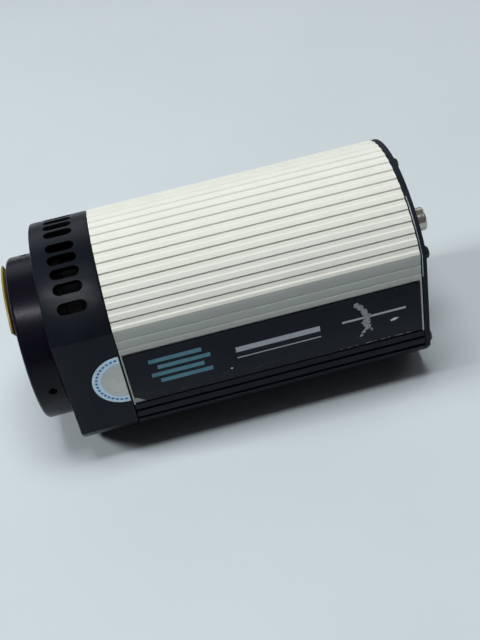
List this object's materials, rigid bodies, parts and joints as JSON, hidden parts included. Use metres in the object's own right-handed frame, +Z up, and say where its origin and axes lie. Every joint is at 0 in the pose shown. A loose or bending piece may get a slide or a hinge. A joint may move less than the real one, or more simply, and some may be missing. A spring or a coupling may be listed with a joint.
{
  "type": "cooled astronomy camera",
  "caption": "Cooled camera head: ribbed round-topped shell, slotted front ring, round nose with lens thread and pull-off cover, rear connector plate, cooled sensor and fan.",
  "frame": {"origin": "bottom centre of the bounding box, on the underside of the tripod pad", "axes": "+X from the nose to the rear plate, +Y across the body, +Z up"},
  "size_m": [0.172, 0.0768, 0.0868],
  "materials": {
    "shell_paint": "satin cream",
    "base_paint": "satin black",
    "anodised": "black anodised, turned",
    "bare_aluminium": "milled",
    "steel": "turned",
    "black_steel": "blackened",
    "nickel": "nickel plated",
    "brass": "machined",
    "film": "dark printed film, worn",
    "seal": "pale foil sticker",
    "yellow_plastic": "moulded",
    "black_plastic": "moulded",
    "white_plastic": "turned insulator",
    "rubber": "matte",
    "optical_glass": "coated",
    "lamp": "clear green",
    "sensor": "polished",
    "ceramic": "ceramic",
    "circuit_board": "solder mask",
    "copper": "copper",
    "amber_plastic": "film and sleeves"
  },
  "bodies": {
    "camera": {"nose_barrel": "anodised", "lens_mount_insert": "steel", "nose_set_screw_1": "black_steel", "nose_set_screw_2": "black_steel", "nose_set_screw_3": "black_steel", "front_vent_ring": "anodised", "seal_sticker": "seal", "upper_shell": "shell_paint", "lower_shell": "base_paint", "side_label_left": "film", "side_label_right": "film", "tripod_pad": "anodised", "tripod_bush": "brass", "tripod_pad_screw_1": "steel", "tripod_pad_screw_2": "steel", "rear_plate": "base_paint", "rear_plate_screw_1": "black_steel", "rear_plate_screw_2": "black_steel", "rear_plate_screw_3": "black_steel", "rear_plate_screw_4": "black_steel", "rear_plate_screw_5": "black_steel", "rear_plate_screw_6": "black_steel", "signal_socket_body": "nickel", "signal_socket_insulator": "white_plastic", "signal_socket_contact": "brass", "signal_socket_nut": "nickel", "data_socket_shell_1": "steel", "data_socket_shell_2": "steel", "data_socket_tongue_1": "black_plastic", "data_socket_tongue_2": "black_plastic", "power_socket_body": "black_plastic", "power_socket_pin": "nickel", "status_lamp": "lamp", "entrance_window": "optical_glass", "window_gasket": "rubber", "window_holder": "anodised", "sensor_chamber": "anodised", "desiccant_plug": "steel", "sensor_glass": "optical_glass", "image_sensor": "sensor", "sensor_board": "circuit_board", "cold_finger": "copper", "peltier_module": "ceramic", "heat_sink": "bare_aluminium", "fan_frame": "black_plastic", "main_board": "circuit_board", "board_standoff_1": "brass", "board_standoff_2": "brass", "board_standoff_3": "brass", "board_standoff_4": "brass", "main_processor": "black_plastic", "capacitor_1": "amber_plastic", "capacitor_2": "amber_plastic", "capacitor_3": "amber_plastic", "power_board": "circuit_board", "power_coil": "copper", "sensor_ribbon": "amber_plastic"},
    "cover": {"aperture_cover": "yellow_plastic"},
    "fan": {"fan_rotor": "black_plastic"}
  },
  "joints": [
    {"name": "cover_pull", "type": "slide", "parent": "camera", "child": "cover", "axis": [-1, 0, 0], "range_m": [0, 0.03]},
    {"name": "fan_spin", "type": "hinge", "parent": "camera", "child": "fan", "pos_m": [0.00485, 0, 0.0418], "axis": [1, 0, 0], "continuous": true}
  ]
}
